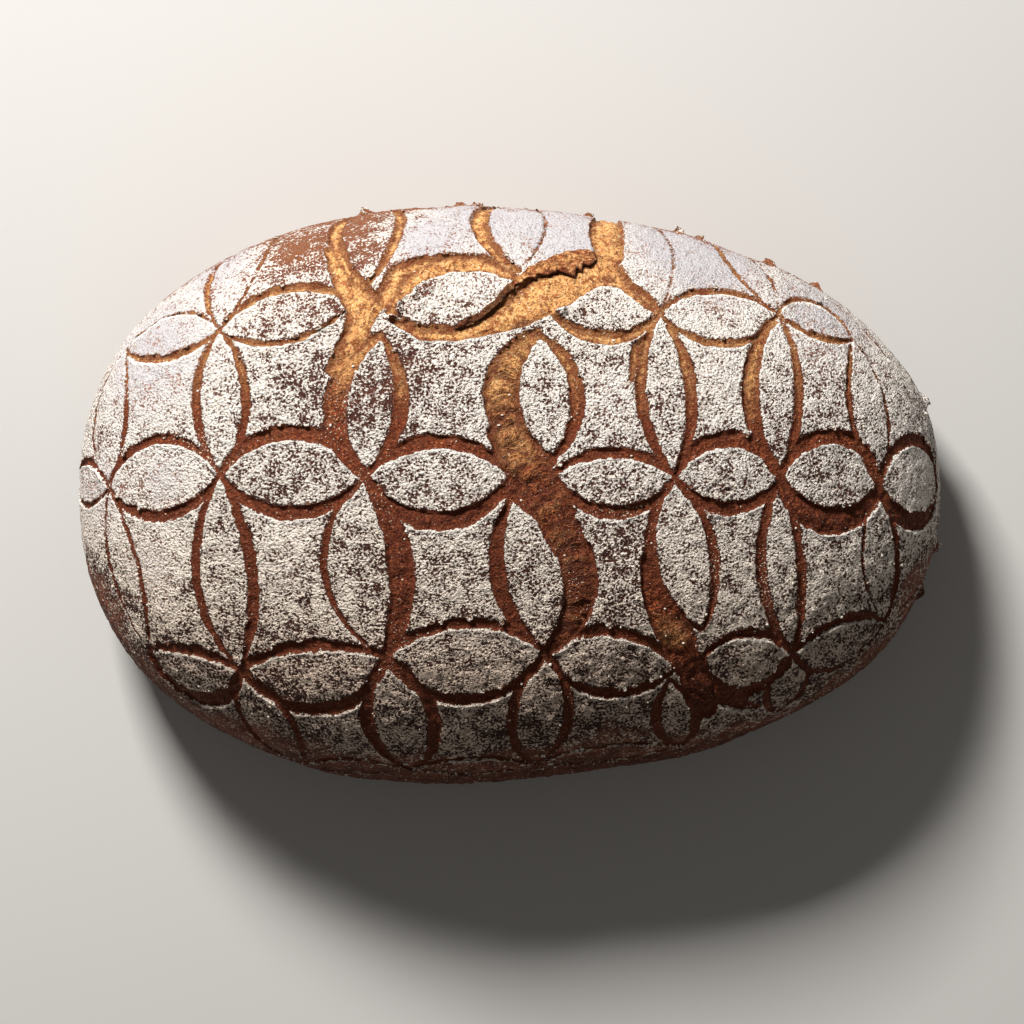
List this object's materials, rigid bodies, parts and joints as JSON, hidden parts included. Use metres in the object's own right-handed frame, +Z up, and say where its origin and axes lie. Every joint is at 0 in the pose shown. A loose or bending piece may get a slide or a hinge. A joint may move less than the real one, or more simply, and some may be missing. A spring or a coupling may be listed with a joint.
{
  "type": "sourdough loaf",
  "caption": "Long oval sourdough loaf, floured and scored with a pattern of overlapping circles, with torn openings and a flat base.",
  "frame": {"origin": "on the flat base, under the middle of the loaf's box", "axes": "+X along the loaf, to the right in the picture; +Y across it, to the top of the picture; +Z up out of the crust"},
  "size_m": [0.2888, 0.196, 0.0997],
  "materials": {
    "crust": "dry, matte, floured"
  },
  "bodies": {
    "root": {"loaf": "crust"}
  },
  "joints": []
}
